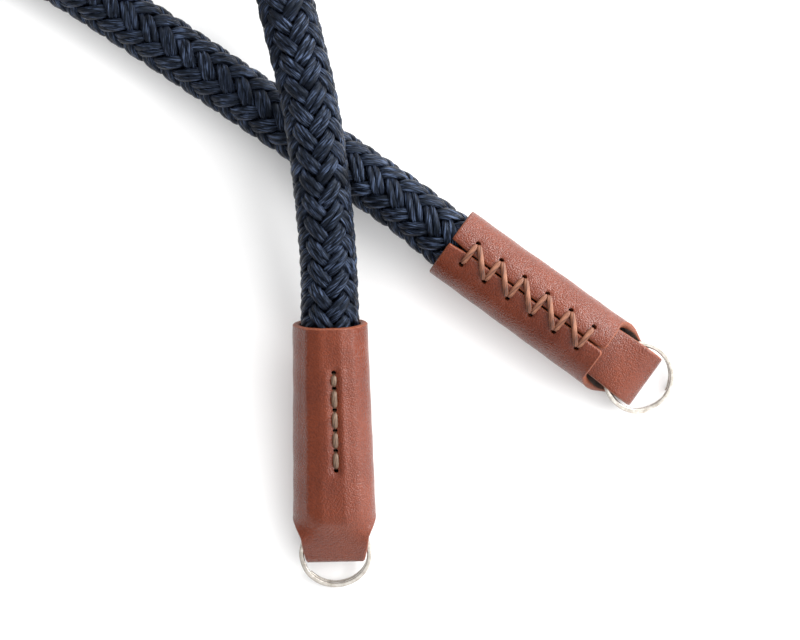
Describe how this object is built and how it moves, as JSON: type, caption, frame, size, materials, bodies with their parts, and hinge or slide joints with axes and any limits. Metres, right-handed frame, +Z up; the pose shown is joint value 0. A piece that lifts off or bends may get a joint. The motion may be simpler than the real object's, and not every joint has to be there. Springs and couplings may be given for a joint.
{
  "type": "rope camera strap",
  "caption": "Camera neck strap of thick round braided rope with a laced leather end and a split ring at each end, lying in a loop with its ends crossed.",
  "frame": {"origin": "on the surface that the strap lies on, under the middle of the box round its two leather ends and rings", "axes": "+Z up from the surface, +Y towards the rope's loop, +X to the right in the view from above"},
  "size_m": [0.1661, 0.3054, 0.0251],
  "materials": {
    "rope": "navy braided rope, matt, fine fibres",
    "leather": "brown leather, fine grain, satin",
    "ring": "polished nickel plate",
    "thread": "waxed tan thread"
  },
  "bodies": {
    "root": {"rope": "rope", "leather_end_a": "leather", "leather_end_b": "leather", "split_ring_a": "ring", "split_ring_b": "ring"}
  },
  "joints": []
}
